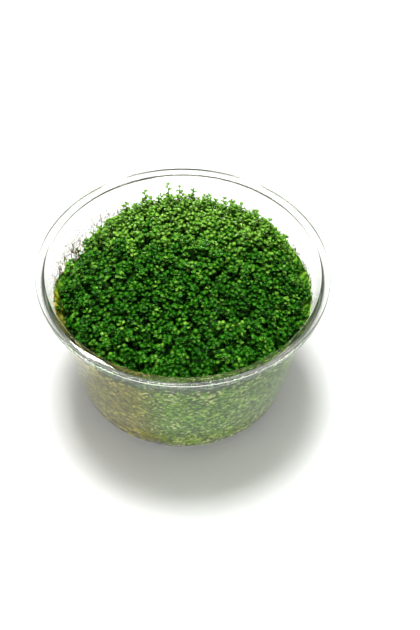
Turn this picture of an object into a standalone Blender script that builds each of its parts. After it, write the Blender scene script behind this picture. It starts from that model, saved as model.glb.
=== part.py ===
"""Dwarf baby tears in a tissue culture cup.

A clear tapered cup with a thick lip, a layer of agar gel on its floor, and one intergrown mat of
the plant standing on the gel. Metres, +Z up. The origin is the centre of the cup's underside.
"""

import math
import random

import bmesh
import bpy
from mathutils import Matrix, Vector, noise
from mathutils.geometry import delaunay_2d_cdt

# Cup
RIM_RADIUS = 0.045
CUP_HEIGHT = 0.053
LIP_DEPTH = 0.0021
LIP_TOP_ROUND = 0.0004
LIP_INNER_ROUND = 0.0004
LIP_FOOT_ROUND = 0.0003
WALL = 0.0012
WALL_SLOPE = 0.163
CORNER_ROUND = 0.009
BASE_CORNER_RADIUS = 0.03456
CUP_STEPS = 64

# Gap between two pieces that touch
GAP = 0.0003

# Gel
GEL_TOP = 0.0065

# Plant mat. Depths are below the top of the lip. The recess is where it has drawn back from the wall.
MAT_EDGE_DEPTH = 0.0098
MAT_CROWN_DEPTH = 0.0032
MAT_DOME_POWER = 3.2
EDGE_WANDER = 0.0014
EDGE_WAVES = 2.1
RECESS = 0.0020
RECESS_DROP = 0.6
RECESS_ANGLE = math.radians(152)
RECESS_WIDTH = math.radians(22)
LUMP_SIZE = 0.009
LUMP_HEIGHT = 0.0011
EDGE_POINTS = 90
SIDE_HEIGHTS = (0.030, 0.018, 0.0088)

# Tufts of the mat's top: a peak in the middle of each, and lower points round it
TUFT_SPACING = 0.0036
TUFT_SHIFT = 0.18
TUFT_EDGE_CLEARANCE = 0.55
TUFT_RISE = (0.0004, 0.0011)
TUFT_VALLEY = (0.0005, 0.0012)

# Tall sprigs that stand above the mat, most of them at its back
SPRIG_COUNT = 34
SPRIG_SPACING = 0.0046
SPRIG_MIDDLE_ANGLE = math.radians(92)
SPRIG_SPREAD_ANGLE = math.radians(62)
SPRIG_RADIUS_SHARE = (0.67, 0.90)
SPRIG_HEAD = 0.0016
SPRIG_NOTCH = 0.44
SPRIG_STEM = 0.00045
SPRIG_RISE = (0.0019, 0.0034)

# The tallest sprigs have climbed the wall at the back: (direction in degrees, depth of the tip below the lip)
WALL_SPRIGS = (
    (101.0, 0.0016),
    (95.0, 0.0027),
    (112.0, 0.0028),
    (88.0, 0.0038),
    (80.0, 0.0057),
    (72.5, 0.0060),
    (123.0, 0.0062),
    (59.0, 0.0068),
    (47.0, 0.0064),
)
WALL_SPRIG_RADIUS = 0.0389
WALL_SPRIG_HEAD = 0.0013
SPRIG_LEAN = 0.0004
SPRIG_ROOT = 0.0024
SPRIG_DROOP = 0.00035
SPRIG_CROWN = 0.0006
SPRIG_SIDES = 8

SEED = 11


def clear_scene():
    for old in list(bpy.data.objects):
        bpy.data.objects.remove(old, do_unlink=True)


def new_collection(name):
    collection = bpy.data.collections.new(name)
    bpy.context.scene.collection.children.link(collection)
    return collection


def material(name, colour, roughness, alpha=1.0):
    made = bpy.data.materials.new(name)
    made.use_nodes = True
    shader = made.node_tree.nodes["Principled BSDF"]
    shader.inputs["Base Color"].default_value = (*colour, 1.0)
    shader.inputs["Roughness"].default_value = roughness
    shader.inputs["Metallic"].default_value = 0.0
    shader.inputs["Alpha"].default_value = alpha
    return made


def add_object(name, mesh, collection, look):
    made = bpy.data.objects.new(name, mesh)
    made.data.materials.append(look)
    collection.objects.link(made)
    return made


def wall_radius(z, inset=0.0):
    """Radius at height z of the cup's outer wall, or of a line that far inside it."""
    return BASE_CORNER_RADIUS + z * WALL_SLOPE - inset * math.hypot(1.0, WALL_SLOPE)


def cavity_radius(z, inset):
    """As wall_radius, with the rounded lower corner."""
    corner = wall_radius(CORNER_ROUND, CORNER_ROUND)
    reach = CORNER_ROUND - inset
    drop = CORNER_ROUND - z
    if drop > reach * math.sin(math.atan(WALL_SLOPE)):
        return corner + math.sqrt(max(reach * reach - drop * drop, 0.0))
    return wall_radius(z, inset)


def arc(centre, radius, start, end, count):
    """Points on an arc in the profile's plane, angles in degrees, both ends included."""
    points = []
    for i in range(count):
        angle = math.radians(start + (end - start) * i / (count - 1))
        points.append((centre[0] + radius * math.cos(angle), centre[1] + radius * math.sin(angle)))
    return points


def turned(name, profile, collection, look):
    """A solid of revolution. The profile runs from the axis to the axis, down its outer side."""
    mesh = bpy.data.meshes.new(name)
    edges = [(i, i + 1) for i in range(len(profile) - 1)]
    mesh.from_pydata([(r, 0.0, z) for r, z in profile], edges, [])
    made = add_object(name, mesh, collection, look)
    screw = made.modifiers.new("Turn", "SCREW")
    screw.steps = CUP_STEPS
    screw.render_steps = CUP_STEPS
    screw.use_merge_vertices = True
    screw.merge_threshold = 0.00001
    screw.use_smooth_shade = True
    return made


def cup_profile():
    slope = math.degrees(math.atan(WALL_SLOPE))
    corner = (wall_radius(CORNER_ROUND, CORNER_ROUND), CORNER_ROUND)
    inner_top = CUP_HEIGHT - LIP_INNER_ROUND
    inner_round = (wall_radius(inner_top, WALL - LIP_INNER_ROUND), inner_top)
    outer_round = (RIM_RADIUS - LIP_TOP_ROUND, CUP_HEIGHT - LIP_TOP_ROUND)
    lip_foot = CUP_HEIGHT - LIP_DEPTH
    foot_round = (RIM_RADIUS - LIP_FOOT_ROUND, lip_foot + LIP_FOOT_ROUND)
    floor = [(0.0, WALL)] + arc(corner, CORNER_ROUND - WALL, -90, -slope, 6)
    lip_top = arc(inner_round, LIP_INNER_ROUND, 180 - slope, 90, 4)
    lip_top += arc(outer_round, LIP_TOP_ROUND, 90, 0, 5)
    lip_under = arc(foot_round, LIP_FOOT_ROUND, 0, -90, 3) + [(wall_radius(lip_foot), lip_foot)]
    underside = arc(corner, CORNER_ROUND, -slope, -90, 7) + [(0.0, 0.0)]
    return floor + lip_top + lip_under + underside


def make_cup(collection):
    look = material("clear plastic", (0.92, 0.95, 0.92), roughness=0.05, alpha=0.3)
    return turned("cup", cup_profile(), collection, look)


def gel_profile():
    """The gel fills the floor of the cup, a gap inside it, up to its flat top."""
    inset = WALL + GAP
    reach = CORNER_ROUND - inset
    corner = (wall_radius(CORNER_ROUND, CORNER_ROUND), CORNER_ROUND)
    top_angle = -math.degrees(math.asin((CORNER_ROUND - GEL_TOP) / reach))
    return [(0.0, GEL_TOP)] + arc(corner, reach, top_angle, -90, 6) + [(0.0, inset)]


def make_gel(collection):
    look = material("agar gel", (0.80, 0.84, 0.62), roughness=0.15, alpha=0.6)
    return turned("agar_gel", gel_profile(), collection, look)


def recess(angle):
    """How far the mat has grown away from the wall in that direction."""
    turn = math.remainder(angle - RECESS_ANGLE, math.tau)
    return RECESS * math.exp(-((turn / RECESS_WIDTH) ** 2))


def edge_height(angle):
    """Height of the mat's edge on the wall."""
    wander = noise.noise(EDGE_WAVES * Vector((math.cos(angle), math.sin(angle), 2.0)))
    return CUP_HEIGHT - MAT_EDGE_DEPTH + EDGE_WANDER * wander - RECESS_DROP * recess(angle)


def edge_radius(angle):
    return cavity_radius(edge_height(angle), WALL + GAP) - recess(angle)


def mat_height(x, y):
    """The mat's smooth top: a dome from its edge to its crown, with wide soft lumps."""
    angle = math.atan2(y, x)
    share = min(math.hypot(x, y) / edge_radius(angle), 1.0)
    crown = CUP_HEIGHT - MAT_CROWN_DEPTH
    dome = crown - (crown - edge_height(angle)) * share**MAT_DOME_POWER
    lump = noise.noise(Vector((x, y, 0.0)) / LUMP_SIZE)
    return dome + LUMP_HEIGHT * lump * (1.0 - share**4)


def tuft_centres(chance):
    """Middles of the tufts: a staggered grid, each point shifted a little."""
    row_step = TUFT_SPACING * math.sqrt(3) / 2
    rows = int(RIM_RADIUS / row_step)
    centres = []
    for row in range(-rows, rows + 1):
        for column in range(-rows, rows + 1):
            shift = Vector((chance.uniform(-1, 1), chance.uniform(-1, 1))) * TUFT_SHIFT * TUFT_SPACING
            centre = Vector(((column + 0.5 * (row % 2)) * TUFT_SPACING, row * row_step)) + shift
            limit = edge_radius(math.atan2(centre.y, centre.x)) - TUFT_EDGE_CLEARANCE * TUFT_SPACING
            if centre.length < limit:
                centres.append(centre)
    return centres


def edge_ring():
    """The mat's outline at its edge, seen from above."""
    ring = []
    for i in range(EDGE_POINTS):
        angle = math.tau * i / EDGE_POINTS
        radius = edge_radius(angle)
        ring.append(Vector((radius * math.cos(angle), radius * math.sin(angle))))
    return ring


def triangulate(points, outline_size):
    """The faces that join points in a plane, inside the outline that the first of them form."""
    outline = list(range(outline_size))
    found = delaunay_2d_cdt(points, [], [outline], 1, 1e-7)
    return found[0], found[2]


def mat_top(chance):
    """Points and faces of the tufted top: each tuft is a peak among lower points round it."""
    centres = tuft_centres(chance)
    ring = edge_ring()
    first_points, first_faces = triangulate(ring + centres, len(ring))
    inside = [face for face in first_faces if any(i >= len(ring) for i in face)]
    valleys = [sum((first_points[i] for i in face), Vector((0.0, 0.0))) / 3 for face in inside]
    points, faces = triangulate(ring + centres + valleys, len(ring))
    placed = []
    for i, point in enumerate(points):
        height = mat_height(point.x, point.y)
        if len(ring) <= i < len(ring) + len(centres):
            height += chance.uniform(*TUFT_RISE)
        elif i >= len(ring):
            height -= chance.uniform(*TUFT_VALLEY)
        placed.append((point.x, point.y, height))
    return placed, faces, len(ring)


def mat_body(name, chance):
    """The mat as one closed solid: its top, its side along the cup's wall, and its flat foot."""
    points, faces, ring_size = mat_top(chance)
    shape = bmesh.new()
    verts = [shape.verts.new(point) for point in points]
    for face in faces:
        shape.faces.new([verts[i] for i in face])
    foot_height = GEL_TOP + GAP
    upper = verts[:ring_size]
    for height in (*SIDE_HEIGHTS, foot_height):
        radius = cavity_radius(height, WALL + GAP)
        lower = []
        for i in range(ring_size):
            angle = math.tau * i / ring_size
            lower.append(shape.verts.new((radius * math.cos(angle), radius * math.sin(angle), height)))
        for i in range(ring_size):
            following = (i + 1) % ring_size
            shape.faces.new((upper[i], lower[i], lower[following], upper[following]))
        upper = lower
    shape.faces.new(list(reversed(upper)))
    bmesh.ops.recalc_face_normals(shape, faces=shape.faces)
    mesh = bpy.data.meshes.new(name)
    shape.to_mesh(mesh)
    shape.free()
    return mesh


def polar(angle, radius):
    return Vector((radius * math.cos(angle), radius * math.sin(angle)))


def wall_sprigs():
    """Place, rise above the mat and head radius of each of the sprigs at the wall."""
    sprigs = []
    for degrees, tip_depth in WALL_SPRIGS:
        place = polar(math.radians(degrees), WALL_SPRIG_RADIUS)
        rise = CUP_HEIGHT - tip_depth - SPRIG_CROWN - mat_height(place.x, place.y)
        sprigs.append((place, rise, WALL_SPRIG_HEAD))
    return sprigs


def scattered_sprigs(taken, chance):
    """The same for the others: a seeded scatter near the edge, with none too close together."""
    places = list(taken)
    sprigs = []
    while len(sprigs) < SPRIG_COUNT:
        angle = chance.gauss(SPRIG_MIDDLE_ANGLE, SPRIG_SPREAD_ANGLE)
        place = polar(angle, edge_radius(angle) * chance.uniform(*SPRIG_RADIUS_SHARE))
        if all((place - other).length > SPRIG_SPACING for other in places):
            places.append(place)
            sprigs.append((place, chance.uniform(*SPRIG_RISE), SPRIG_HEAD))
    return sprigs


def add_sprig(shape, place, rise, head_radius, chance):
    """One sprig: a thin stem that widens to a head with four leaf points."""
    foot = Vector((place.x, place.y, mat_height(place.x, place.y)))
    turn = Matrix.Rotation(chance.uniform(0.0, math.tau), 4, "Z")
    lean = Vector((chance.uniform(-1, 1), chance.uniform(-1, 1), 0.0)) * SPRIG_LEAN
    verts = bmesh.ops.create_cone(
        shape,
        cap_ends=True,
        segments=SPRIG_SIDES,
        radius1=SPRIG_STEM,
        radius2=head_radius,
        depth=rise + SPRIG_ROOT,
    )["verts"]
    head = [vert for vert in verts if vert.co.z > 0.0]
    cap = next(face for face in head[0].link_faces if all(vert in head for vert in face.verts))
    for i, vert in enumerate(head):
        if i % 2:
            vert.co.xy *= SPRIG_NOTCH
        else:
            vert.co.z -= SPRIG_DROOP
        vert.co += lean
    middle = foot + Vector((0.0, 0.0, (rise - SPRIG_ROOT) / 2))
    bmesh.ops.transform(shape, matrix=Matrix.Translation(middle) @ turn, verts=verts)
    bmesh.ops.poke(shape, faces=[cap], offset=SPRIG_CROWN)


def sprig_mesh(name, chance):
    shape = bmesh.new()
    tallest = wall_sprigs()
    taken = [place for place, _, _ in tallest]
    for place, rise, head_radius in tallest + scattered_sprigs(taken, chance):
        add_sprig(shape, place, rise, head_radius, chance)
    bmesh.ops.recalc_face_normals(shape, faces=shape.faces)
    mesh = bpy.data.meshes.new(name)
    shape.to_mesh(mesh)
    shape.free()
    return mesh


def make_mat(collection, cutters):
    """The plants: the mat, with the tall sprigs joined to it in one body."""
    look = material("baby tears", (0.035, 0.16, 0.012), roughness=0.6)
    chance = random.Random(SEED)
    mat = add_object("baby_tears_mat", mat_body("baby_tears_mat", chance), collection, look)
    sprigs = add_object("tall_sprigs", sprig_mesh("tall_sprigs", chance), cutters, look)
    sprigs.hide_render = True
    sprigs.display_type = "WIRE"
    union = mat.modifiers.new("Sprigs", "BOOLEAN")
    union.operation = "UNION"
    union.solver = "EXACT"
    union.object = sprigs
    return mat


def main():
    clear_scene()
    parts = new_collection("baby_tears_cup")
    cutters = new_collection("joined_shapes")
    make_cup(parts)
    make_gel(parts)
    make_mat(parts, cutters)


main()
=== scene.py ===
"""The looks of a cup of dwarf baby tears: clear plastic, gel, and the plants leaf by leaf."""

import math

import bpy
import numpy as np
from mathutils import Matrix, Vector, noise


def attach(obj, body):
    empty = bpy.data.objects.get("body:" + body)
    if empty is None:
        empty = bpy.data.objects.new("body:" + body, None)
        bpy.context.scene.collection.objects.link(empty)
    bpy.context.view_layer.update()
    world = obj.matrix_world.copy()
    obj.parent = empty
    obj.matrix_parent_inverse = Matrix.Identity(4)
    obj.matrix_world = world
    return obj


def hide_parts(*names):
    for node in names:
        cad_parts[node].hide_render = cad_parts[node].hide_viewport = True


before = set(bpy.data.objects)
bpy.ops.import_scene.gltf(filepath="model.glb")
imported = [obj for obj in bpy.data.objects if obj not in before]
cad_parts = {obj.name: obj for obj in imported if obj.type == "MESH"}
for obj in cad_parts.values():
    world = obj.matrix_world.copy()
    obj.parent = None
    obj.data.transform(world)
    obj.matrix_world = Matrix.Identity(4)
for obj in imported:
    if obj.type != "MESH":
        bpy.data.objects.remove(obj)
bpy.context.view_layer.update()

TAU = math.tau

# The cup and the plants' edge, in metres, as the CAD model has them
RIM_RADIUS = 0.045
CUP_HEIGHT = 0.053
LIP_DEPTH = 0.0021
LIP_TOP_ROUND = 0.0004
LIP_INNER_ROUND = 0.0004
LIP_FOOT_ROUND = 0.0003
WALL = 0.0012
WALL_SLOPE = 0.163
CORNER_ROUND = 0.009
BASE_CORNER_RADIUS = 0.03456
GEL_TOP = 0.0065
MAT_EDGE_DEPTH = 0.0098
MAT_CROWN_DEPTH = 0.0032
MAT_DOME_POWER = 3.2
EDGE_WANDER = 0.0014
EDGE_WAVES = 2.1
EDGE_NOISE_LEVEL = 2.0
RECESS = 0.0020
RECESS_DROP = 0.6
RECESS_ANGLE = math.radians(152)
RECESS_WIDTH = math.radians(22)
LUMP_SIZE = 0.009
LUMP_HEIGHT = 0.0011
GAP = 0.0003

# Smooth turned surfaces
TURN_STEPS = 256

# How close leaves, stems and gel come to the inside of the wall
TOUCH = 0.00008

# Wet growth on the wall has no air between it and the plastic. Old growth reaches a little way into
# it, and leaves and stems a little further.
WET_GROWTH = 0.00001
WET_CONTACT = 0.00005

SEED = 7


# Shape of the cup's inside and of the mat's top

def wall_radius(z, inset=0.0):
    """Radius at height z of the cup's outer wall, or of a line that far inside it."""
    return BASE_CORNER_RADIUS + z * WALL_SLOPE - inset * math.hypot(1.0, WALL_SLOPE)


def cavity_radius(z, inset):
    """As wall_radius, with the rounded lower corner. Takes one height or an array of them."""
    corner = wall_radius(CORNER_ROUND, CORNER_ROUND)
    reach = CORNER_ROUND - inset
    drop = CORNER_ROUND - np.asarray(z, float)
    rounded = corner + np.sqrt(np.clip(reach * reach - drop * drop, 0.0, None))
    return np.where(drop > reach * math.sin(math.atan(WALL_SLOPE)), rounded, wall_radius(z, inset))


def recess(angle):
    """How far the mat has grown away from the wall in that direction."""
    turn = np.remainder(np.asarray(angle) - RECESS_ANGLE + math.pi, TAU) - math.pi
    return RECESS * np.exp(-((turn / RECESS_WIDTH) ** 2))


def noise_at(points):
    """Smooth noise, from about -1 to 1, at each of the points."""
    return np.array([noise.noise(Vector(point)) for point in points])


def edge_height(angle):
    """Height of the mat's edge on the wall, for an array of angles."""
    angle = np.asarray(angle, float)
    places = np.stack([np.cos(angle), np.sin(angle), np.full_like(angle, EDGE_NOISE_LEVEL)], axis=1)
    wander = EDGE_WANDER * noise_at(places * EDGE_WAVES)
    return CUP_HEIGHT - MAT_EDGE_DEPTH + wander - RECESS_DROP * recess(angle)


def edge_radius(angle):
    return cavity_radius(edge_height(angle), WALL + GAP) - recess(angle)


def mat_height(x, y):
    """The mat's smooth top: a dome from its edge to its crown, with wide soft lumps."""
    angle = np.arctan2(y, x)
    share = np.minimum(np.hypot(x, y) / edge_radius(angle), 1.0)
    crown = CUP_HEIGHT - MAT_CROWN_DEPTH
    dome = crown - (crown - edge_height(angle)) * share**MAT_DOME_POWER
    lump = noise_at(np.stack([x, y, np.zeros_like(x)], axis=1) / LUMP_SIZE)
    return dome + LUMP_HEIGHT * lump * (1.0 - share**4)


# Vector helpers for arrays of points

def unit(vectors):
    return vectors / np.maximum(np.linalg.norm(vectors, axis=-1, keepdims=True), 1e-12)


def side_pair(axes):
    """Two unit vectors across each axis."""
    helper = np.where(np.abs(axes[:, 2:3]) < 0.9, [[0.0, 0.0, 1.0]], [[1.0, 0.0, 0.0]])
    first = unit(np.cross(axes, helper))
    return first, np.cross(axes, first)


def kept_inside(points, clearance):
    """Points that would lie in the wall are moved in to just inside it."""
    radius = np.hypot(points[..., 0], points[..., 1])
    limit = cavity_radius(np.clip(points[..., 2], 0.0, CUP_HEIGHT), WALL + clearance)
    scale = np.minimum(limit / np.maximum(radius, 1e-9), 1.0)
    held = points.copy()
    held[..., 0] *= scale
    held[..., 1] *= scale
    return held


# Painted backlight: tone that is added from the front of the cup to its back
PALE_SLOPE = 0.22
PALE_BACK = 0.64
PALE_BACK_START = 0.006
PALE_BACK_DEPTH = 0.028


def back_light(y):
    """Painted backlight: the growth is coloured paler at the back of the cup, and a little darker
    towards the front.
    """
    behind = np.clip((y - PALE_BACK_START) / PALE_BACK_DEPTH, 0.0, 1.0)
    return PALE_SLOPE * y / RIM_RADIUS + PALE_BACK * behind * behind * (3.0 - 2.0 * behind)


class Growth:
    """Many small closed shapes gathered into one mesh, with two values on each of their points."""

    def __init__(self):
        self.points = []
        self.faces = []
        self.values = []
        self.count = 0

    def add(self, points, faces, tone, age_and_shade):
        """points is shapes by points by 3; faces is one shape's triangles; tone and age are 0 to 1, and
        age also carries painted shade in places.
        """
        shapes, size, _ = points.shape
        starts = self.count + size * np.arange(shapes)
        self.points.append(points.reshape(-1, 3))
        self.faces.append((starts[:, None, None] + faces[None]).reshape(-1, 3))
        tone = np.broadcast_to(np.reshape(tone, (-1, 1)), (shapes, size))
        age_and_shade = np.broadcast_to(np.reshape(age_and_shade, (-1, 1)), (shapes, size))
        self.values.append(np.stack([tone, age_and_shade], axis=2).reshape(-1, 2))
        self.count += shapes * size

    def piece(self, name, look, slot, clearance=TOUCH):
        points = kept_inside(np.concatenate(self.points), clearance)
        faces = np.concatenate(self.faces)
        values = np.concatenate(self.values).astype(np.float32)
        mesh = bpy.data.meshes.new(name)
        mesh.from_pydata(points.tolist(), [], faces.tolist())
        for column, title in enumerate(("tone", "age_and_shade")):
            layer = mesh.attributes.new(title, "FLOAT", "POINT")
            layer.data.foreach_set("value", values[:, column].copy())
        mesh.shade_smooth()
        return finished(name, mesh, look)


def finished(name, mesh, look):
    """An object for the mesh, with its material, riding on the part's one body."""
    made = bpy.data.objects.new(name, mesh)
    made.data.materials.append(look)
    bpy.context.scene.collection.objects.link(made)
    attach(made, "root")
    return made


# Templates of one leaf, one stem and one drop

# A leaf one unit long: its width at the foot and how much it widens, and its thickest place
LEAF_FOOT_WIDTH = 0.82
LEAF_WIDENING = 0.30
LEAF_MIDDLE = 0.52
LEAF_MIDDLE_SAG = 0.27
LEAF_SHARE_ABOVE = 0.35

# A drop's rings, as (level, width) up to its top level
DROP_RINGS = ((-0.05, 0.96), (0.22, 0.98), (0.62, 0.72))
DROP_BASE = -0.05
DROP_TOP_LEVEL = 0.85


def leaf_shape(rim, cup=0.09, arch=0.10, thickness=0.10, width=0.88):
    """A fleshy round leaf along +X, one unit long, its foot at the origin and its face up."""
    turn = TAU * np.arange(rim) / rim
    x = 0.5 - 0.5 * np.cos(turn)
    y = 0.5 * width * np.sin(turn) * (LEAF_FOOT_WIDTH + LEAF_WIDENING * x)
    z = cup * 4.0 * y * y - arch * x * x
    outline = np.stack([x, y, z], axis=1)
    middle = -arch * LEAF_MIDDLE_SAG
    top = [LEAF_MIDDLE, 0.0, middle + LEAF_SHARE_ABOVE * thickness]
    under = [LEAF_MIDDLE, 0.0, middle - (1.0 - LEAF_SHARE_ABOVE) * thickness]
    faces = []
    for i in range(rim):
        following = (i + 1) % rim
        faces.append((following, i, rim))
        faces.append((i, following, rim + 1))
    return np.vstack([outline, top, under]), np.array(faces)


def placed_leaves(shape, feet, directions, faces_up, lengths):
    """The leaf shape at each foot, along each direction, with its face towards faces_up."""
    directions = unit(directions)
    sides = unit(np.cross(faces_up, directions))
    normals = np.cross(directions, sides)
    posed = (
        shape[None, :, 0:1] * directions[:, None]
        + shape[None, :, 1:2] * sides[:, None]
        + shape[None, :, 2:3] * normals[:, None]
    )
    return feet[:, None] + posed * np.reshape(lengths, (-1, 1, 1))


def tube_faces(rings, sides):
    faces = []
    for ring in range(rings - 1):
        for i in range(sides):
            a = ring * sides + i
            b = ring * sides + (i + 1) % sides
            faces += [(a, b, b + sides), (a, b + sides, a + sides)]
    last = (rings - 1) * sides
    for i in range(1, sides - 1):
        faces.append((0, i + 1, i))
        faces.append((last, last + i, last + i + 1))
    return np.array(faces)


def tubes(paths, radii, sides):
    """A thin closed tube along each path. paths is tubes by points by 3; radii is tubes by points."""
    count, rings, _ = paths.shape
    along = unit(np.gradient(paths, axis=1)).reshape(-1, 3)
    first, second = side_pair(along)
    turn = TAU * np.arange(sides) / sides
    ring = first[:, None] * np.cos(turn)[None, :, None] + second[:, None] * np.sin(turn)[None, :, None]
    points = paths.reshape(-1, 1, 3) + ring * np.reshape(radii, (-1, 1, 1))
    return points.reshape(count, rings * sides, 3), tube_faces(rings, sides)


def drop_shape(sides=7, height=0.30):
    """A flat-bottomed drop, one unit in radius, standing on its base towards +Z."""
    points = [(0.0, 0.0, DROP_BASE)]
    for level, width in DROP_RINGS:
        for i in range(sides):
            angle = TAU * (i + 0.5 * level) / sides
            z = level * height / DROP_TOP_LEVEL
            points.append((width * math.cos(angle), width * math.sin(angle), z))
    points.append((0.0, 0.0, height))
    top = len(points) - 1
    faces = []
    for i in range(sides):
        j = (i + 1) % sides
        faces.append((0, 1 + j, 1 + i))
        for ring in range(len(DROP_RINGS) - 1):
            a = 1 + ring * sides
            faces += [(a + i, a + j, a + j + sides), (a + i, a + j + sides, a + i + sides)]
        a = 1 + (len(DROP_RINGS) - 1) * sides
        faces.append((a + i, a + j, top))
    return np.array(points), np.array(faces)


# Where things grow

# How a sprig's leaves vary, and how they are coloured older down its stem, which is partly painted shade
# deeper in the mat. Angles in degrees are named so.
LEAF_TURN_SCATTER = 0.16
LEAF_PITCH_SCATTER_DEGREES = 11.0
LEAF_FACE_SCATTER = 0.16
LEAF_LENGTH_SPREAD = (0.84, 1.14)
LEAF_TONE_SCATTER = 0.13
LEAF_AGE_AND_SHADE_STEP = 0.10

# A sprig's stem: shares of its length, its bend, its taper, and how dark it is and how old it is
# coloured, partly as painted shade
STEM_STEPS = (0.0, 0.33, 0.68, 1.0)
STEM_BEND = 0.10
STEM_TIP_WIDTH = 0.75
STEM_WIDENING = 0.35
STEM_TONE = 0.6
STEM_EXTRA_AGE_AND_SHADE = 0.35
STEM_SIDES = 4


def scattered_disc(rng, spacing, shift, clearance):
    """A staggered grid of places over the mat, each moved a little, kept inside its edge."""
    row_step = spacing * math.sqrt(3) / 2
    rows = int(RIM_RADIUS / row_step) + 1
    row, column = np.meshgrid(np.arange(-rows, rows + 1), np.arange(-rows, rows + 1))
    x = ((column + 0.5 * (row % 2)) * spacing).ravel()
    y = (row * row_step).ravel()
    x = x + rng.uniform(-shift, shift, x.size) * spacing
    y = y + rng.uniform(-shift, shift, y.size) * spacing
    near = np.hypot(x, y) < RIM_RADIUS
    x, y = x[near], y[near]
    inside = np.hypot(x, y) < edge_radius(np.arctan2(y, x)) - clearance
    return x[inside], y[inside]


def leaning_axes(rng, x, y, outward, scatter):
    """Growing directions: up, leaning outwards near the wall, and a little at random."""
    share = np.hypot(x, y) / RIM_RADIUS
    lean = outward * share**3 / np.maximum(np.hypot(x, y), 1e-9)
    axes = np.stack([x * lean, y * lean, np.ones_like(x)], axis=1)
    axes[:, :2] += rng.normal(0.0, scatter, (x.size, 2))
    return unit(axes)


def add_sprigs(growth, rng, tips, axes, whorls, leaf, stem, size, age_and_shade, tone):
    """Sprigs with opposite pairs of leaves, each pair turned a quarter from the one above it.

    whorls is (depth below the tip, leaf length, leaf pitch in degrees) for each pair, and stem is
    (length, radius).
    """
    count = len(tips)
    shape, faces = leaf
    stem_length, stem_radius = stem
    first, second = side_pair(axes)
    turn = rng.uniform(0.0, TAU, count)
    for rank, (depth, length, pitch) in enumerate(whorls):
        for half in (0.0, math.pi):
            angle = turn + rank * math.pi / 2 + half + rng.normal(0.0, LEAF_TURN_SCATTER, count)
            across = first * np.cos(angle)[:, None] + second * np.sin(angle)[:, None]
            rise = np.radians(pitch + rng.normal(0.0, LEAF_PITCH_SCATTER_DEGREES, count))[:, None]
            direction = across * np.cos(rise) + axes * np.sin(rise)
            face_up = axes * np.cos(rise) - across * np.sin(rise)
            face_up = face_up + rng.normal(0.0, LEAF_FACE_SCATTER, (count, 3))
            lengths = length * size * rng.uniform(*LEAF_LENGTH_SPREAD, count)
            feet = tips - axes * (depth * size)[:, None] + direction * (stem_radius * 0.6)
            points = placed_leaves(shape, feet, direction, face_up, lengths)
            leaf_tone = np.clip(tone + rng.normal(0.0, LEAF_TONE_SCATTER, count), 0.0, 1.0)
            leaf_age_and_shade = np.clip(age_and_shade + rank * LEAF_AGE_AND_SHADE_STEP, 0.0, 1.0)
            growth.add(points, faces, leaf_tone, leaf_age_and_shade)
    bend = rng.normal(0.0, STEM_BEND, (count, 3)) * stem_length
    bend[:, 2] = 0.0
    steps = np.array(STEM_STEPS)
    paths = tips[:, None] - axes[:, None] * (steps[None, :, None] * stem_length)
    paths = paths + bend[:, None] * (steps * steps)[None, :, None]
    radii = np.broadcast_to(stem_radius * (STEM_TIP_WIDTH + STEM_WIDENING * steps), (count, steps.size))
    stems, stem_faces = tubes(paths, radii, STEM_SIDES)
    growth.add(stems, stem_faces, tone * STEM_TONE, np.clip(age_and_shade + STEM_EXTRA_AGE_AND_SHADE, 0.0, 1.0))


# Materials

# Where a leaf's dark, middle and light colours lie on its tone, and those of old growth on its mottle
TONE_STOPS = (0.0, 0.5, 1.0)
MOTTLE_STOPS = (0.38, 0.50, 0.64)

# Noise scales are per metre
LEAF_PATCH_SCALE = 900.0
LEAF_PATCH_STOPS = ((0.35, (0.72, 0.76, 0.70)), (0.65, (1.12, 1.08, 1.0)))
LEAF_GRAIN_SCALE = 2600.0
LEAF_IOR = 1.42
MOTTLE_SCALE = 620.0
RELIEF_HEIGHT = 0.0001


def node(tree, kind, **inputs):
    made = tree.nodes.new(kind)
    for name, value in inputs.items():
        made.inputs[name.replace("_", " ")].default_value = value
    return made


def new_material(name):
    made = bpy.data.materials.new(name)
    made.use_nodes = True
    return made, made.node_tree, made.node_tree.nodes["Principled BSDF"]


def ramp(tree, source, stops):
    """A colour ramp over the source; stops is (place, linear colour)."""
    made = tree.nodes.new("ShaderNodeValToRGB")
    elements = made.color_ramp.elements
    while len(elements) < len(stops):
        elements.new(0.5)
    for element, (place, colour) in zip(elements, stops):
        element.position = place
        element.color = (*colour, 1.0)
    tree.links.new(source, made.inputs["Fac"])
    return made.outputs["Color"]


def mixed(tree, factor, first, second, mode="MIX"):
    made = tree.nodes.new("ShaderNodeMix")
    made.data_type = "RGBA"
    made.blend_type = mode
    for socket, value in (("Factor", factor), ("A", first), ("B", second)):
        target = next(item for item in made.inputs if item.name == socket and item.enabled)
        if isinstance(value, bpy.types.NodeSocket):
            tree.links.new(value, target)
        else:
            target.default_value = value
    return next(item for item in made.outputs if item.enabled)


def attribute(tree, name):
    made = tree.nodes.new("ShaderNodeAttribute")
    made.attribute_name = name
    return made.outputs["Fac"]


def noise_value(tree, scale, detail=2.0):
    place = tree.nodes.new("ShaderNodeTexCoord")
    made = node(tree, "ShaderNodeTexNoise", Scale=scale, Detail=detail)
    tree.links.new(place.outputs["Object"], made.inputs["Vector"])
    return made.outputs["Fac"]


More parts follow.
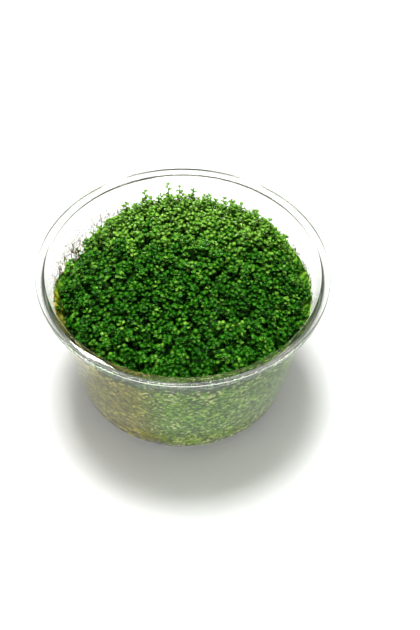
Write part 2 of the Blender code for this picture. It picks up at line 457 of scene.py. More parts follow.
def plant_material(name, young, old_and_shaded, roughness=0.26, gloss=0.34, bump=0.25):
    """Moist satin leaves. young and old are (dark, middle, light) colours, joined by age; the darker old
    colours are partly painted shade.
    """
    made, tree, shader = new_material(name)
    tone = attribute(tree, "tone")
    age_and_shade = attribute(tree, "age_and_shade")
    young_colour = ramp(tree, tone, list(zip(TONE_STOPS, young)))
    old_and_shaded_colour = ramp(tree, tone, list(zip(TONE_STOPS, old_and_shaded)))
    colour = mixed(tree, age_and_shade, young_colour, old_and_shaded_colour)
    patches = ramp(tree, noise_value(tree, LEAF_PATCH_SCALE), LEAF_PATCH_STOPS)
    colour = mixed(tree, 1.0, colour, patches, mode="MULTIPLY")
    tree.links.new(colour, shader.inputs["Base Color"])
    shader.inputs["Roughness"].default_value = roughness
    shader.inputs["IOR"].default_value = LEAF_IOR
    shader.inputs["Specular IOR Level"].default_value = gloss
    relief = node(tree, "ShaderNodeBump", Strength=bump, Distance=RELIEF_HEIGHT)
    tree.links.new(noise_value(tree, LEAF_GRAIN_SCALE), relief.inputs["Height"])
    tree.links.new(relief.outputs["Normal"], shader.inputs["Normal"])
    return made


def growth_material(name, young, old_and_shaded, shade):
    """A wet tangle of leaves and stems too fine to tell apart: mottled, and painted shade in the shade
    colour where tone is 0.
    """
    made, tree, shader = new_material(name)
    mottle = noise_value(tree, MOTTLE_SCALE, detail=3.0)
    young_colour = ramp(tree, mottle, list(zip(MOTTLE_STOPS, young)))
    old_and_shaded_colour = ramp(tree, mottle, list(zip(MOTTLE_STOPS, old_and_shaded)))
    colour = mixed(tree, attribute(tree, "age_and_shade"), young_colour, old_and_shaded_colour)
    # Painted shade: where tone is 0 the colour is the shade colour
    colour = mixed(tree, attribute(tree, "tone"), (*shade, 1.0), colour)
    tree.links.new(colour, shader.inputs["Base Color"])
    shader.inputs["Roughness"].default_value = 0.45
    shader.inputs["Specular IOR Level"].default_value = 0.05
    relief = node(tree, "ShaderNodeBump", Strength=0.4, Distance=RELIEF_HEIGHT)
    tree.links.new(mottle, relief.inputs["Height"])
    tree.links.new(relief.outputs["Normal"], shader.inputs["Normal"])
    return made


def clear_material(name, ior, roughness, colour, depth_colour=None, density=0.0):
    """See-through by plain transmission, with an even tint that deepens with thickness."""
    made, tree, shader = new_material(name)
    shader.inputs["Base Color"].default_value = (*colour, 1.0)
    shader.inputs["Transmission Weight"].default_value = 1.0
    shader.inputs["Roughness"].default_value = roughness
    shader.inputs["IOR"].default_value = ior
    if depth_colour is not None:
        tint = node(tree, "ShaderNodeVolumeAbsorption", Density=density)
        tint.inputs["Color"].default_value = (*depth_colour, 1.0)
        output = tree.nodes["Material Output"]
        tree.links.new(tint.outputs["Volume"], output.inputs["Volume"])
    return made


# Cup and gel

PLASTIC_IOR = 1.50
PLASTIC_TINT = (0.50, 0.54, 0.25)
PLASTIC_TINT_DENSITY = 70.0
GEL_IOR = 1.34
GEL_ROUGHNESS = 0.12
GEL_COLOUR = (0.96, 0.97, 0.90)
GEL_TINT = (0.80, 0.82, 0.50)
GEL_TINT_DENSITY = 60.0
WATER_IOR = 1.33
CLEAR = (1.0, 1.0, 1.0)

# Points on each rounded edge of the profiles
INNER_CORNER_STEPS = 18
INNER_LIP_STEPS = 12
OUTER_LIP_STEPS = 14
LIP_FOOT_STEPS = 6
OUTER_CORNER_STEPS = 20
GEL_CORNER_STEPS = 16
MERGE_DISTANCE = 0.000001


def arc(centre, radius, start, end, count):
    """Points on an arc in the profile's plane, angles in degrees, both ends included."""
    angles = np.radians(np.linspace(start, end, count))
    return [(centre[0] + radius * math.cos(a), centre[1] + radius * math.sin(a)) for a in angles]


def turned(name, profile, look):
    """A smooth solid of revolution. The profile runs from the axis to the axis, down its outside."""
    mesh = bpy.data.meshes.new(name)
    edges = [(i, i + 1) for i in range(len(profile) - 1)]
    mesh.from_pydata([(r, 0.0, z) for r, z in profile], edges, [])
    made = finished(name, mesh, look)
    screw = made.modifiers.new("Turn", "SCREW")
    screw.steps = TURN_STEPS
    screw.render_steps = TURN_STEPS
    screw.use_merge_vertices = True
    screw.merge_threshold = MERGE_DISTANCE
    screw.use_smooth_shade = True
    return made


def make_cup():
    slope = math.degrees(math.atan(WALL_SLOPE))
    corner = (wall_radius(CORNER_ROUND, CORNER_ROUND), CORNER_ROUND)
    inner_top = CUP_HEIGHT - LIP_INNER_ROUND
    inner_round = (wall_radius(inner_top, WALL - LIP_INNER_ROUND), inner_top)
    outer_round = (RIM_RADIUS - LIP_TOP_ROUND, CUP_HEIGHT - LIP_TOP_ROUND)
    lip_foot = CUP_HEIGHT - LIP_DEPTH
    foot_round = (RIM_RADIUS - LIP_FOOT_ROUND, lip_foot + LIP_FOOT_ROUND)
    profile = [(0.0, WALL)] + arc(corner, CORNER_ROUND - WALL, -90, -slope, INNER_CORNER_STEPS)
    profile += arc(inner_round, LIP_INNER_ROUND, 180 - slope, 90, INNER_LIP_STEPS)
    profile += arc(outer_round, LIP_TOP_ROUND, 90, 0, OUTER_LIP_STEPS)
    profile += arc(foot_round, LIP_FOOT_ROUND, 0, -90, LIP_FOOT_STEPS)
    profile += [(wall_radius(lip_foot), lip_foot)]
    profile += arc(corner, CORNER_ROUND, -slope, -90, OUTER_CORNER_STEPS) + [(0.0, 0.0)]
    look = clear_material("clear_plastic", PLASTIC_IOR, 0.0, CLEAR, PLASTIC_TINT, PLASTIC_TINT_DENSITY)
    cup = turned("cup_clear", profile, look)
    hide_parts("cup")


def make_gel():
    inset = WALL + TOUCH
    reach = CORNER_ROUND - inset
    corner = (wall_radius(CORNER_ROUND, CORNER_ROUND), CORNER_ROUND)
    top_angle = -math.degrees(math.asin((CORNER_ROUND - GEL_TOP) / reach))
    profile = [(0.0, GEL_TOP)] + arc(corner, reach, top_angle, -90, GEL_CORNER_STEPS) + [(0.0, inset)]
    look = clear_material("agar", GEL_IOR, GEL_ROUGHNESS, GEL_COLOUR, GEL_TINT, GEL_TINT_DENSITY)
    gel = turned("gel", profile, look)
    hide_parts("agar_gel")


# Plants

# Dark, middle and light colours
YOUNG_GREEN = ((0.010, 0.100, 0.001), (0.030, 0.215, 0.003), (0.250, 0.580, 0.055))
# Old colours: older leaves, and partly painted shade deeper in the mat
OLD_SHADED_GREEN = ((0.010, 0.070, 0.001), (0.032, 0.160, 0.004), (0.120, 0.300, 0.030))
# The wall's lightest, near-white colours are partly painted highlights on the wet leaves
WALL_GREEN = ((0.028, 0.130, 0.003), (0.330, 0.720, 0.034), (0.920, 1.000, 0.600))
# Olive colours, used mostly at the wall's front left, where they are painted shade with a warm painted
# reflection
WALL_OLIVE = ((0.062, 0.060, 0.001), (0.340, 0.325, 0.002), (0.840, 0.820, 0.200))
ROOT_PALE = ((0.420, 0.520, 0.160), (0.700, 0.800, 0.420), (0.900, 0.940, 0.760))
ROOT_OLIVE = ((0.300, 0.130, 0.040), (0.560, 0.500, 0.140), (0.860, 0.820, 0.480))
GROWTH_GREEN = ((0.008, 0.036, 0.002), (0.040, 0.140, 0.005), (0.220, 0.430, 0.030))
GROWTH_OLIVE = ((0.040, 0.035, 0.002), (0.160, 0.140, 0.005), (0.400, 0.350, 0.020))
# Painted shade: the colour of the old growth's top inside the mat
SHADE_GREEN = (0.008, 0.045, 0.001)

# Pairs of leaves on a sprig, as (depth below the tip, leaf length, leaf pitch in degrees)
TOP_PAIRS = (
    (0.0, 0.00080, 55.0),
    (0.00040, 0.00150, 22.0),
    (0.00105, 0.00168, 5.0),
    (0.00230, 0.00165, -8.0),
)
UNDER_PAIRS = ((0.0, 0.00140, 30.0), (0.00090, 0.00165, 8.0), (0.00200, 0.00170, -6.0))
TALL_HEAD_PAIRS = ((0.0, 0.00080, 52.0), (0.00042, 0.00128, 20.0), (0.00150, 0.00135, 8.0))
TALL_LOWER_PAIRS = ((0.00290, 0.00140, 2.0), (0.00430, 0.00145, -4.0), (0.00570, 0.00150, -6.0))

# The sprigs of the mat's top. A tone is (middle, spread), and a rise is above the smooth top.
GRID_SHIFT = 0.36
TOP_SPACING = 0.00285
TOP_CLEARANCE = 0.0009
TOP_RISE = (-0.0016, 0.0009)
TOP_LEAN = (0.55, 0.17)
TOP_SIZE = (0.86, 1.14)
TOP_TONE = (0.46, 0.20)
TOP_STEM_LENGTH = 0.0062
STEM_RADIUS = 0.00013

# The undergrowth, at a depth below the smooth top, coloured older and darker, partly as painted shade
UNDER_SPACING = 0.00255
UNDER_CLEARANCE = 0.0012
UNDER_DEPTH = (0.0024, 0.0060)
UNDER_LEAN = (0.7, 0.30)
UNDER_SIZE = (0.90, 1.20)
UNDER_TONE = (0.38, 0.18)
UNDER_AGE_AND_SHADE = 0.45
UNDER_STEM_LENGTH = 0.0055
UNDER_STEM_RADIUS = 0.00014

# The tall sprigs: how the CAD mat's points are told to be their heads, and which are the tallest
TALL_RISE = 0.0019
TALL_APART = 0.0034
TALLEST_RISE = 0.0038
TALL_STEM_LENGTH = 0.0062
TALLEST_STEM_LENGTH = 0.0095
TALL_LEAN = (0.06, 0.10)
TALL_SIZE = (0.92, 1.08)
TALL_TONE = (0.58, 0.16)

# The shorter sprigs along the back edge
EDGE_SPRIG_COUNT = 110
EDGE_SPRIG_DEGREES = (24.0, 156.0)
EDGE_SPRIG_INSET = (0.0008, 0.0052)
EDGE_SPRIG_RISE = (0.0004, 0.0034)
EDGE_STEM_LENGTH = 0.0060


def make_top_sprigs(rng, look):
    """The sprigs that form the mat's top: heads of four open leaves round a small closed pair."""
    growth = Growth()
    x, y = scattered_disc(rng, TOP_SPACING, GRID_SHIFT, TOP_CLEARANCE)
    height = mat_height(x, y) + rng.uniform(*TOP_RISE, x.size)
    tips = np.stack([x, y, height], axis=1)
    axes = leaning_axes(rng, x, y, *TOP_LEAN)
    size = rng.uniform(*TOP_SIZE, x.size)
    tone = np.clip(rng.normal(*TOP_TONE, x.size) + back_light(y), 0.0, 1.0)
    age_and_shade = np.zeros(x.size)
    stem = (TOP_STEM_LENGTH, STEM_RADIUS)
    add_sprigs(growth, rng, tips, axes, TOP_PAIRS, leaf_shape(10), stem, size, age_and_shade, tone)
    return growth.piece("baby_tears_top", look, "foliage")


def make_under_sprigs(rng, look):
    """Lower sprigs that fill the gaps between the top ones, coloured older and darker, partly as painted
    shade.
    """
    growth = Growth()
    x, y = scattered_disc(rng, UNDER_SPACING, GRID_SHIFT, UNDER_CLEARANCE)
    height = mat_height(x, y) - rng.uniform(*UNDER_DEPTH, x.size)
    tips = np.stack([x, y, height], axis=1)
    axes = leaning_axes(rng, x, y, *UNDER_LEAN)
    size = rng.uniform(*UNDER_SIZE, x.size)
    tone = np.clip(rng.normal(*UNDER_TONE, x.size) + back_light(y), 0.0, 1.0)
    age_and_shade = np.full(x.size, UNDER_AGE_AND_SHADE)
    stem = (UNDER_STEM_LENGTH, UNDER_STEM_RADIUS)
    add_sprigs(growth, rng, tips, axes, UNDER_PAIRS, leaf_shape(6), stem, size, age_and_shade, tone)
    return growth.piece("baby_tears_undergrowth", look, "foliage")


def tall_sprig_tips():
    """The heads of the tall sprigs, where the CAD mat has them."""
    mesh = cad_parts["baby_tears_mat"].data
    points = np.array([vert.co for vert in mesh.vertices], float)
    above = points[:, 2] - mat_height(points[:, 0], points[:, 1])
    tips = []
    for index in np.argsort(-above):
        if above[index] < TALL_RISE:
            break
        if all(np.hypot(*(points[index, :2] - tip[:2])) > TALL_APART for tip in tips):
            tips.append(points[index])
    return np.array(tips)


def make_tall_sprigs(rng, look):
    """The sprigs that stand clear of the mat, most of them at its back."""
    growth = Growth()
    tips = tall_sprig_tips()
    tallest = tips[:, 2] - mat_height(tips[:, 0], tips[:, 1]) > TALLEST_RISE
    short_pairs = TALL_HEAD_PAIRS + TALL_LOWER_PAIRS[:1]
    add_tall(growth, rng, tips[~tallest], short_pairs, TALL_STEM_LENGTH)
    add_tall(growth, rng, tips[tallest], TALL_HEAD_PAIRS + TALL_LOWER_PAIRS, TALLEST_STEM_LENGTH)
    add_tall(growth, rng, edge_sprig_tips(rng), short_pairs, EDGE_STEM_LENGTH)
    return growth.piece("baby_tears_tall_sprigs", look, "foliage")


def add_tall(growth, rng, tips, whorls, length):
    count = len(tips)
    axes = leaning_axes(rng, tips[:, 0], tips[:, 1], *TALL_LEAN)
    size = rng.uniform(*TALL_SIZE, count)
    tone = np.clip(rng.normal(*TALL_TONE, count) + back_light(tips[:, 1]), 0.0, 1.0)
    stem = (length, STEM_RADIUS)
    add_sprigs(growth, rng, tips, axes, whorls, leaf_shape(8), stem, size, np.zeros(count), tone)


def edge_sprig_tips(rng):
    """Tips of the shorter sprigs along the mat's back edge, between the tall ones."""
    angle = np.radians(rng.uniform(*EDGE_SPRIG_DEGREES, EDGE_SPRIG_COUNT))
    radius = edge_radius(angle) - rng.uniform(*EDGE_SPRIG_INSET, EDGE_SPRIG_COUNT)
    x, y = radius * np.cos(angle), radius * np.sin(angle)
    height = mat_height(x, y) + rng.uniform(*EDGE_SPRIG_RISE, EDGE_SPRIG_COUNT)
    return np.stack([x, y, height], axis=1)


# How olive the growth on the wall is coloured: at the front left this is painted shade with a warm
# painted reflection, and it grows more olive towards the gel. Directions are angles round the cup.
OLIVE_ANGLE = math.radians(222)
OLIVE_HALF_WIDTH = math.radians(36)
OLIVE_SOFTNESS = math.radians(3)
OLIVE_SIDE = 0.90
OLIVE_LOW = 0.50
OLIVE_LOW_TOP = 0.020
OLIVE_LOW_DEPTH = 0.014

# Patches of light and dark on the wall, partly painted light and shade, as (size, strength), and a pale
# band below the mat's edge that is a painted highlight
SMALL_PATCHES = (0.0024, 0.60)
LARGE_PATCHES = (0.0055, 0.35)
PALE_BAND = 0.40
PALE_BAND_DEPTH = 0.0022
PALE_BAND_WIDTH = 0.0016

# How far above the mat's edge leaves cling to the wall
CLING_HEIGHT = 0.0030
CLING_SHARE_AT_SIDES = 0.35
CLING_LOSS = 5.0

# Leaves on the wall
EDGE_MARGIN = 0.0002
WALL_LEAF_COUNT = 8000
WALL_LEAF_START = GEL_TOP - 0.002
WALL_LEAF_SCATTER = 0.10
WALL_LEAF_LENGTH = (0.0009, 0.0018)
WALL_LEAF_TONE = (0.46, 0.34)
WALL_LEAF_CONTACT = (0.3, 0.9)


def wall_frame(angle, z, depth):
    """Points that far inside the wall's inner face, with the outward, sideways and upward directions."""
    radius = cavity_radius(z, WALL + TOUCH) - depth
    place = np.stack([radius * np.cos(angle), radius * np.sin(angle), z], axis=-1)
    tilt = math.atan(WALL_SLOPE)
    level = math.cos(tilt)
    fall = np.full_like(angle, -math.sin(tilt))
    outward = np.stack([np.cos(angle) * level, np.sin(angle) * level, fall], axis=-1)
    sideways = np.stack([-np.sin(angle), np.cos(angle), np.zeros_like(angle)], axis=-1)
    upward = np.cross(outward, sideways)
    return place, outward, sideways, upward


def olive_share(angle, z):
    """How olive the growth on the wall is coloured: at the front left, painted shade with a warm painted
    reflection, and more olive towards the gel.
    """
    turn = np.remainder(angle - OLIVE_ANGLE + math.pi, TAU) - math.pi
    side = 1.0 / (1.0 + np.exp((np.abs(turn) - OLIVE_HALF_WIDTH) / OLIVE_SOFTNESS))
    low = np.clip((OLIVE_LOW_TOP - z) / OLIVE_LOW_DEPTH, 0.0, 1.0)
    return np.clip(OLIVE_SIDE * side + OLIVE_LOW * low, 0.0, 1.0)


def growth_tone(rng, place, middle, spread):
    """Light and dark from one leaf to the next and over patches that are partly painted light and shade,
    and a painted highlight: pale just below the mat's edge.
    """
    patches = sum(noise_at(place / size) * strength for size, strength in (SMALL_PATCHES, LARGE_PATCHES))
    below = edge_height(np.arctan2(place[:, 1], place[:, 0])) - place[:, 2]
    pale = PALE_BAND * np.exp(-(((below - PALE_BAND_DEPTH) / PALE_BAND_WIDTH) ** 2))
    return np.clip(rng.normal(middle, spread, len(place)) + patches + pale, 0.0, 1.0)


def wall_reach(angle):
    """How far above the mat's edge leaves cling to the wall: most at the front, none at the back."""
    front = np.clip(CLING_SHARE_AT_SIDES - np.sin(angle), 0.0, 1.0)
    return CLING_HEIGHT * front - CLING_LOSS * recess(angle)


def wall_heights(rng, angle, foot, power=1.0):
    """Heights on the wall from foot up to the ragged top of the growth there."""
    count = angle.size
    head = edge_height(angle) - EDGE_MARGIN + wall_reach(angle) * rng.uniform(0.0, 1.0, count)
    return foot + (head - foot) * rng.uniform(0.0, 1.0, count) ** power


def wall_direction(rng, sideways, upward):
    """Directions every way along the wall."""
    turn = rng.uniform(0.0, TAU, len(sideways))
    return sideways * np.cos(turn)[:, None] + upward * np.sin(turn)[:, None]


def make_wall_leaves(rng, look):
    """Leaves pressed flat and wet against the inside of the wall."""
    growth = Growth()
    count = WALL_LEAF_COUNT
    shape, faces = leaf_shape(7, cup=0.02, arch=0.02, width=0.76)
    angle = rng.uniform(0.0, TAU, count)
    z = wall_heights(rng, angle, WALL_LEAF_START)
    place, outward, sideways, upward = wall_frame(angle, z, -TOUCH - 0.5 * WET_CONTACT)
    direction = wall_direction(rng, sideways, upward)
    facing = outward + rng.normal(0.0, WALL_LEAF_SCATTER, (count, 3))
    points = placed_leaves(shape, place, direction, facing, rng.uniform(*WALL_LEAF_LENGTH, count))
    points = kept_inside(points, -rng.uniform(*WALL_LEAF_CONTACT, (count, 1)) * WET_CONTACT)
    growth.add(points, faces, growth_tone(rng, place, *WALL_LEAF_TONE), olive_share(angle, z))
    return growth.piece("baby_tears_wall_leaves", look, "foliage", clearance=-WET_CONTACT)


# Threads on the wall: how they wander
THREAD_STEPS = 7
THREAD_SPREAD = 0.04
THREAD_DEPTH_SCATTER = 0.00004
THREAD_DEEPEST = 0.004

# Stems that climb the wall
WALL_STEM_COUNT = 900
WALL_STEM_TOP_FOOT = 0.034
WALL_STEM_MARGIN = 0.0005
WALL_STEM_LOSS = 4.0
WALL_STEM_LENGTH = (0.004, 0.014)
WALL_STEM_SHORTEST = 0.001
WALL_STEM_WANDER = 0.0007
WALL_STEM_RADIUS = (0.00006, 0.00012)
WALL_STEM_TONE = (0.1, 0.9)

# Short bits of stem on the wall
STEM_BIT_COUNT = 2600
STEM_BIT_START = GEL_TOP + 0.0005
STEM_BIT_HEIGHT_POWER = 0.8
STEM_BIT_REACH = (0.0003, 0.0009)
STEM_BIT_BEND = 0.00016
STEM_BIT_RADIUS = (0.00010, 0.00024)
STEM_BIT_TAPER = (0.6, 1.0, 0.6)
STEM_BIT_TONE = (0.70, 0.25)

# Brown stems in the recess
RUNNER_COUNT = 46
RUNNER_SPREAD = 0.9
RUNNER_FOOT = 0.026
RUNNER_RISE = (-0.003, 0.0035)
RUNNER_WANDER = 0.0010
RUNNER_DEPTH = 0.0002
RUNNER_RADIUS = (0.00007, 0.00013)
RUNNER_TONE = (0.0, 0.35)

# Roots in the gel
ROOT_COUNT = 420
ROOT_SPREAD = 0.036
ROOT_START = GEL_TOP + 0.001
ROOT_FOOT = (0.0022, 0.0048)
ROOT_WANDER = 0.0006
ROOT_RADIUS = (0.00012, 0.00005)
ROOT_TONE = (0.2, 1.0)
ROOT_CLEARANCE = 0.0004


def wandering_paths(rng, angle, low, high, wander, depth):
    """Threads that climb the inside of the wall from low to high."""
    count = angle.size
    steps = THREAD_STEPS
    share = np.linspace(0.0, 1.0, steps)[None, :]
    z = low[:, None] + (high - low)[:, None] * share
    drift = np.cumsum(rng.normal(0.0, wander, (count, steps)), axis=1) / THREAD_SPREAD
    turn = angle[:, None] + drift
    inward = depth + rng.normal(0.0, THREAD_DEPTH_SCATTER, (count, steps))
    inward = np.clip(inward, 0.0, THREAD_DEEPEST)
    radius = cavity_radius(z, WALL + TOUCH) - inward
    return np.stack([radius * np.cos(turn), radius * np.sin(turn), z], axis=2)


def even_radii(rng, spread, count):
    """One random radius for the whole of each thread."""
    return np.broadcast_to(rng.uniform(*spread, count)[:, None], (count, THREAD_STEPS))


def make_wall_stems(rng, look):
    """Pale stems that climb the inside of the wall, and short bits of stem that lie every way on it."""
    growth = Growth()
    count = WALL_STEM_COUNT
    angle = rng.uniform(0.0, TAU, count)
    low = rng.uniform(GEL_TOP, WALL_STEM_TOP_FOOT, count)
    head = edge_height(angle) - WALL_STEM_MARGIN - WALL_STEM_LOSS * recess(angle)
    highest = np.maximum(head, low + WALL_STEM_SHORTEST)
    high = np.minimum(low + rng.uniform(*WALL_STEM_LENGTH, count), highest)
    paths = wandering_paths(rng, angle, low, high, WALL_STEM_WANDER, 0.0)
    points, faces = tubes(paths, even_radii(rng, WALL_STEM_RADIUS, count), STEM_SIDES)
    olive = olive_share(angle, 0.5 * (low + high))
    growth.add(points, faces, rng.uniform(*WALL_STEM_TONE, count), olive)
    add_stem_bits(growth, rng)
    add_runners(growth, rng)
    return growth.piece("baby_tears_stems", look, "foliage", clearance=-WET_CONTACT)


def add_stem_bits(growth, rng):
    """Short pale bits: stems, and leaves that are pressed to the wall edge on."""
    count = STEM_BIT_COUNT
    angle = rng.uniform(0.0, TAU, count)
    z = wall_heights(rng, angle, STEM_BIT_START, STEM_BIT_HEIGHT_POWER)
    place, _, sideways, upward = wall_frame(angle, z, 0.0)
    along = wall_direction(rng, sideways, upward)
    reach = rng.uniform(*STEM_BIT_REACH, count)[:, None]
    bend = upward * rng.normal(0.0, STEM_BIT_BEND, count)[:, None]
    paths = np.stack([place - along * reach, place + bend, place + along * reach], axis=1)
    radii = rng.uniform(*STEM_BIT_RADIUS, count)[:, None] * np.array(STEM_BIT_TAPER)
    points, faces = tubes(paths, radii, 5)
    growth.add(points, faces, growth_tone(rng, place, *STEM_BIT_TONE), olive_share(angle, z))


def add_runners(growth, rng):
    """Brown stems on the wall where the mat has drawn back from it."""
    count = RUNNER_COUNT
    angle = RECESS_ANGLE + rng.normal(0.0, RUNNER_SPREAD * RECESS_WIDTH, count)
    low = np.full(count, RUNNER_FOOT)
    high = edge_height(angle) + rng.uniform(*RUNNER_RISE, count)
    paths = wandering_paths(rng, angle, low, high, RUNNER_WANDER, RUNNER_DEPTH)
    points, faces = tubes(paths, even_radii(rng, RUNNER_RADIUS, count), STEM_SIDES)
    growth.add(points, faces, rng.uniform(*RUNNER_TONE, count), np.ones(count))


def make_roots(rng, look):
    """Fine roots that reach down into the gel."""
    growth = Growth()
    count = ROOT_COUNT
    steps = THREAD_STEPS
    radius = ROOT_SPREAD * np.sqrt(rng.uniform(0.0, 1.0, count))
    angle = rng.uniform(0.0, TAU, count)
    share = np.linspace(0.0, 1.0, steps)[None, :]
    foot = rng.uniform(*ROOT_FOOT, count)
    z = ROOT_START * (1.0 - share) + foot[:, None] * share
    drift = np.cumsum(rng.normal(0.0, ROOT_WANDER, (count, steps, 2)), axis=1)
    x = (radius * np.cos(angle))[:, None] + drift[..., 0]
    y = (radius * np.sin(angle))[:, None] + drift[..., 1]
    radii = np.broadcast_to(np.linspace(*ROOT_RADIUS, steps)[None, :], (count, steps))
    points, faces = tubes(np.stack([x, y, z], axis=2), radii, STEM_SIDES)
    growth.add(points, faces, rng.uniform(*ROOT_TONE, count), olive_share(angle, foot))
    return growth.piece("baby_tears_roots", look, "foliage", clearance=ROOT_CLEARANCE)


# Old growth: its top inside the mat, and its sides against the wall
CORE_TOP_SHARES = np.linspace(0.03, 1.0, 20)
CORE_TOP_INSET = 0.0034
CORE_TOP_DEPTH = 0.0052
CORE_TOP_DROP = 0.0014
CORE_BUMP_SIZE = 0.0022
CORE_BUMP_HEIGHT = 0.0009
CORE_SIDE_SHARES = np.linspace(0.0, 1.0, 16)
CORE_SIDE_MARGIN = 0.0006
CORE_SIDE_WANDER = 0.0006
CORE_SIDE_WAVES = 14.0
CORE_NOISE_LEVEL = 5.0
CORE_REACH_SHARE = 0.5
CORE_FOOT = GEL_TOP + 0.0004


def make_core(look):
    """Old growth: its top inside the mat is a dark sheet of painted shade, and its sides are pressed wet
    against the wall.
    """
    turns = TURN_STEPS
    angle = TAU * np.arange(turns) / turns
    rows = []
    shade = []
    for share in CORE_TOP_SHARES:
        radius = (edge_radius(angle) - CORE_TOP_INSET) * share
        x, y = radius * np.cos(angle), radius * np.sin(angle)
        z = mat_height(x, y) - CORE_TOP_DEPTH - CORE_TOP_DROP * share**6
        bumps = noise_at(np.stack([x, y, z], axis=1) / CORE_BUMP_SIZE)
        rows.append(np.stack([x, y, z + CORE_BUMP_HEIGHT * bumps], axis=1))
        # The top takes the painted shade colour
        shade.append(np.zeros(turns))
    circle = np.stack([np.cos(angle), np.sin(angle), np.full(turns, CORE_NOISE_LEVEL)], axis=1)
    wander = CORE_SIDE_WANDER * noise_at(circle * CORE_SIDE_WAVES)
    top = edge_height(angle) - CORE_SIDE_MARGIN + wander + CORE_REACH_SHARE * wall_reach(angle)
    for share in CORE_SIDE_SHARES:
        z = top + (CORE_FOOT - top) * share
        radius = cavity_radius(z, WALL) + WET_GROWTH
        rows.append(np.stack([radius * np.cos(angle), radius * np.sin(angle), z], axis=1))
        shade.append(np.ones(turns))
    points = np.concatenate(rows + [[rows[0].mean(axis=0)], [rows[-1].mean(axis=0)]])
    last = len(points) - 1
    first = last - 1
    faces = []
    for i in range(turns):
        j = (i + 1) % turns
        faces.append((first, i, j))
        for row in range(len(rows) - 1):
            a = row * turns
            faces.append((a + i, a + i + turns, a + j + turns))
            faces.append((a + i, a + j + turns, a + j))
        a = (len(rows) - 1) * turns
        faces.append((a + j, a + i, last))
    growth = Growth()
    olive = olive_share(np.arctan2(points[:, 1], points[:, 0]), points[:, 2])
    lit = np.concatenate([*shade, [0.0, 1.0]])
    growth.points.append(points)
    growth.faces.append(np.array(faces))
    growth.values.append(np.stack([lit, olive], axis=1))
    return growth.piece("baby_tears_old_growth", look, "foliage", clearance=-WET_CONTACT)


# Drops of condensation: fine ones above the plants at the back left, and larger ones round the edge
DROP_COUNT = 1500
FINE_DROP_ANGLE = math.radians(150)
FINE_DROP_SPREAD = math.radians(26)
FINE_DROP_RISE = (1.6, 0.0016)
FINE_DROP_TOP = CUP_HEIGHT - 0.004
FINE_DROP_RADIUS = (0.00006, 0.00019)
EDGE_DROP_RISE = (-0.0002, 0.0007)
EDGE_DROP_RADIUS = (0.00010, 0.00034)
DROP_BASE_DEPTH = 0.00002


def add_drops(growth, angle, z, radius):
    """Drops on the inside of the wall, their flat bases against it."""
    place, outward, sideways, upward = wall_frame(angle, z, np.zeros_like(z))
    shape, faces = drop_shape()
    posed = (
        shape[None, :, 0:1] * sideways[:, None]
        + shape[None, :, 1:2] * upward[:, None]
        - shape[None, :, 2:3] * outward[:, None]
    )
    points = place[:, None] + posed * radius[:, None, None]
    growth.add(points, faces[:, ::-1], np.zeros(len(z)), np.zeros(len(z)))


def make_condensation(rng):
    """Fine drops of condensation inside the wall, thickest just above the plants."""
    growth = Growth()
    count = DROP_COUNT
    angle = rng.normal(FINE_DROP_ANGLE, FINE_DROP_SPREAD, count)
    z = edge_height(angle) + rng.gamma(*FINE_DROP_RISE, count)
    kept = z < FINE_DROP_TOP
    add_drops(growth, angle[kept], z[kept], rng.uniform(*FINE_DROP_RADIUS, count)[kept])
    angle = rng.uniform(0.0, TAU, count)
    z = edge_height(angle) + rng.normal(*EDGE_DROP_RISE, count)
    add_drops(growth, angle, z, rng.uniform(*EDGE_DROP_RADIUS, count))
    look = clear_material("condensation", WATER_IOR, 0.0, CLEAR)
    growth.piece("condensation", look, "clear_plastic", clearance=-DROP_BASE_DEPTH)


def make_plants():
    top = plant_material("leaves_top", YOUNG_GREEN, OLD_SHADED_GREEN)
    wall = plant_material("leaves_wall", WALL_GREEN, WALL_OLIVE, gloss=0.0)
    root = plant_material("roots", ROOT_PALE, ROOT_OLIVE, roughness=0.35)
    pieces = [
        make_top_sprigs(np.random.default_rng(SEED), top),
        make_under_sprigs(np.random.default_rng(SEED + 1), top),
        make_tall_sprigs(np.random.default_rng(SEED + 2), top),
        make_wall_leaves(np.random.default_rng(SEED + 3), wall),
        make_wall_stems(np.random.default_rng(SEED + 4), root),
        make_roots(np.random.default_rng(SEED + 5), root),
        make_core(growth_material("old_growth", GROWTH_GREEN, GROWTH_OLIVE, SHADE_GREEN)),
    ]
    for piece in pieces:
        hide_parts("baby_tears_mat")
    make_condensation(np.random.default_rng(SEED + 6))


# Camera, floor and light

CAMERA_ELEVATION = math.radians(50.1)
CAMERA_DISTANCE = 6.03 * RIM_RADIUS
CAMERA_ROLL = math.radians(-2.4)
CAMERA_SHIFT_X = -0.193 * RIM_RADIUS
CAMERA_SHIFT_Y = 0.330 * RIM_RADIUS
CAMERA_FOCAL_PIXELS = 888
IMAGE_HEIGHT_PIXELS = 630
SENSOR_WIDTH_MM = 36
NEAREST_SEEN = 0.01

FLOOR_RADIUS = 3.0
FLOOR_SIDES = 64
FLOOR_TONES = ((0.3, (0.86, 0.86, 0.855)), (0.7, (0.88, 0.88, 0.875)))
FLOOR_TONE_SCALE = 3.0

STUDIO_STRENGTH = 12.0
# Light from each height of the studio, as (Z of the direction, share of the strength)
STUDIO_BEHIND = ((0.05, 0.006), (0.35, 0.016), (0.60, 0.030), (0.85, 0.050), (0.98, 0.080))
STUDIO_IN_FRONT = ((0.0, 2.2), (0.10, 2.2), (0.13, 0.001), (0.80, 0.001), (0.98, 0.060))
# Where the front of the studio gives way to the back, along the direction's Y halved and centred
STUDIO_JOIN = ((0.30, 1.0), (0.50, 0.0))

# Lamps, as (name, place, width and length, watts), all turned to the middle of the cup
LAMPS = (
    ("overhead", (-0.06, 0.17, 0.98), (0.30, 0.30), 12.0),
    ("highlight", (-0.156, 0.556, 0.847), (0.065, 0.045), 0.30),
)
LAMP_TARGET = (0.0, 0.0, 0.03)


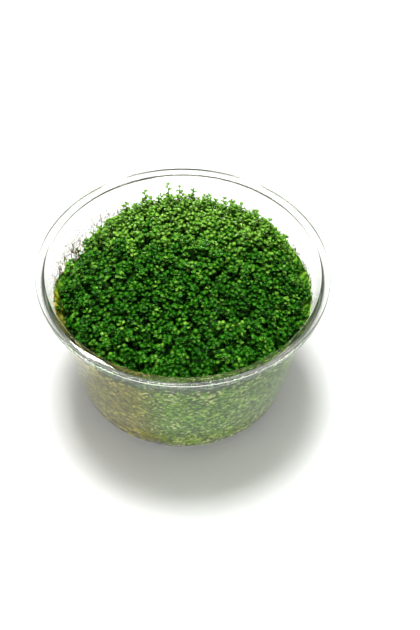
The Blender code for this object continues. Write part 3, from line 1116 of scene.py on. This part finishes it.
def make_camera():
    data = bpy.data.cameras.new("camera")
    data.sensor_width = SENSOR_WIDTH_MM
    data.lens = CAMERA_FOCAL_PIXELS / IMAGE_HEIGHT_PIXELS * SENSOR_WIDTH_MM
    data.clip_start = NEAREST_SEEN
    camera = bpy.data.objects.new("camera", data)
    back = Vector((0.0, -math.cos(CAMERA_ELEVATION), math.sin(CAMERA_ELEVATION)))
    right = Vector((1.0, 0.0, 0.0))
    up = right.cross(-back)
    rim_centre = Vector((0.0, 0.0, CUP_HEIGHT))
    place = rim_centre + CAMERA_DISTANCE * back - CAMERA_SHIFT_X * right - CAMERA_SHIFT_Y * up
    axes = Matrix((right, up, back)).transposed().to_4x4()
    camera.matrix_world = Matrix.Translation(place) @ axes @ Matrix.Rotation(-CAMERA_ROLL, 4, "Z")
    bpy.context.scene.collection.objects.link(camera)
    bpy.context.scene.camera = camera


def make_floor():
    mesh = bpy.data.meshes.new("floor")
    turns = [TAU * i / FLOOR_SIDES for i in range(FLOOR_SIDES)]
    points = [(FLOOR_RADIUS * math.cos(turn), FLOOR_RADIUS * math.sin(turn), 0.0) for turn in turns]
    mesh.from_pydata(points, [], [tuple(range(FLOOR_SIDES))])
    floor = bpy.data.objects.new("floor", mesh)
    made, tree, shader = new_material("floor")
    tone = ramp(tree, noise_value(tree, FLOOR_TONE_SCALE), FLOOR_TONES)
    tree.links.new(tone, shader.inputs["Base Color"])
    shader.inputs["Roughness"].default_value = 0.9
    shader.inputs["Specular IOR Level"].default_value = 0.0
    floor.data.materials.append(made)
    bpy.context.scene.collection.objects.link(floor)


def make_world():
    """A dim studio, paler towards its top, with a bright low strip in front and darkness above that."""
    world = bpy.data.worlds.new("studio")
    bpy.context.scene.world = world
    world.use_nodes = True
    tree = world.node_tree
    background = tree.nodes["Background"]
    place = tree.nodes.new("ShaderNodeTexCoord")
    parts = tree.nodes.new("ShaderNodeSeparateXYZ")
    tree.links.new(place.outputs["Generated"], parts.inputs["Vector"])
    behind = grey_ramp(tree, parts.outputs["Z"], STUDIO_BEHIND)
    front = grey_ramp(tree, parts.outputs["Z"], STUDIO_IN_FRONT)
    side = grey_ramp(tree, scaled(tree, parts.outputs["Y"], 0.5, 0.5), STUDIO_JOIN)
    tree.links.new(mixed(tree, side, behind, front), background.inputs["Color"])
    background.inputs["Strength"].default_value = STUDIO_STRENGTH


def grey_ramp(tree, source, stops):
    return ramp(tree, source, [(place, (level, level, level)) for place, level in stops])


def scaled(tree, source, scale, offset):
    made = tree.nodes.new("ShaderNodeMath")
    made.operation = "MULTIPLY_ADD"
    tree.links.new(source, made.inputs[0])
    made.inputs[1].default_value = scale
    made.inputs[2].default_value = offset
    return made.outputs[0]


def add_lamp(name, place, size, power):
    data = bpy.data.lights.new(name, "AREA")
    data.shape = "RECTANGLE"
    data.size, data.size_y = size
    data.energy = power
    lamp = bpy.data.objects.new(name, data)
    lamp.location = place
    aim = Vector(LAMP_TARGET) - Vector(place)
    lamp.rotation_euler = aim.to_track_quat("-Z", "Y").to_euler()
    lamp.visible_camera = False
    bpy.context.scene.collection.objects.link(lamp)


def main():
    make_camera()
    make_floor()
    make_world()
    for lamp in LAMPS:
        add_lamp(*lamp)
    make_cup()
    make_gel()
    make_plants()
    scene = bpy.context.scene
    scene.view_settings.view_transform = "Standard"
    scene.view_settings.look = "None"


main()
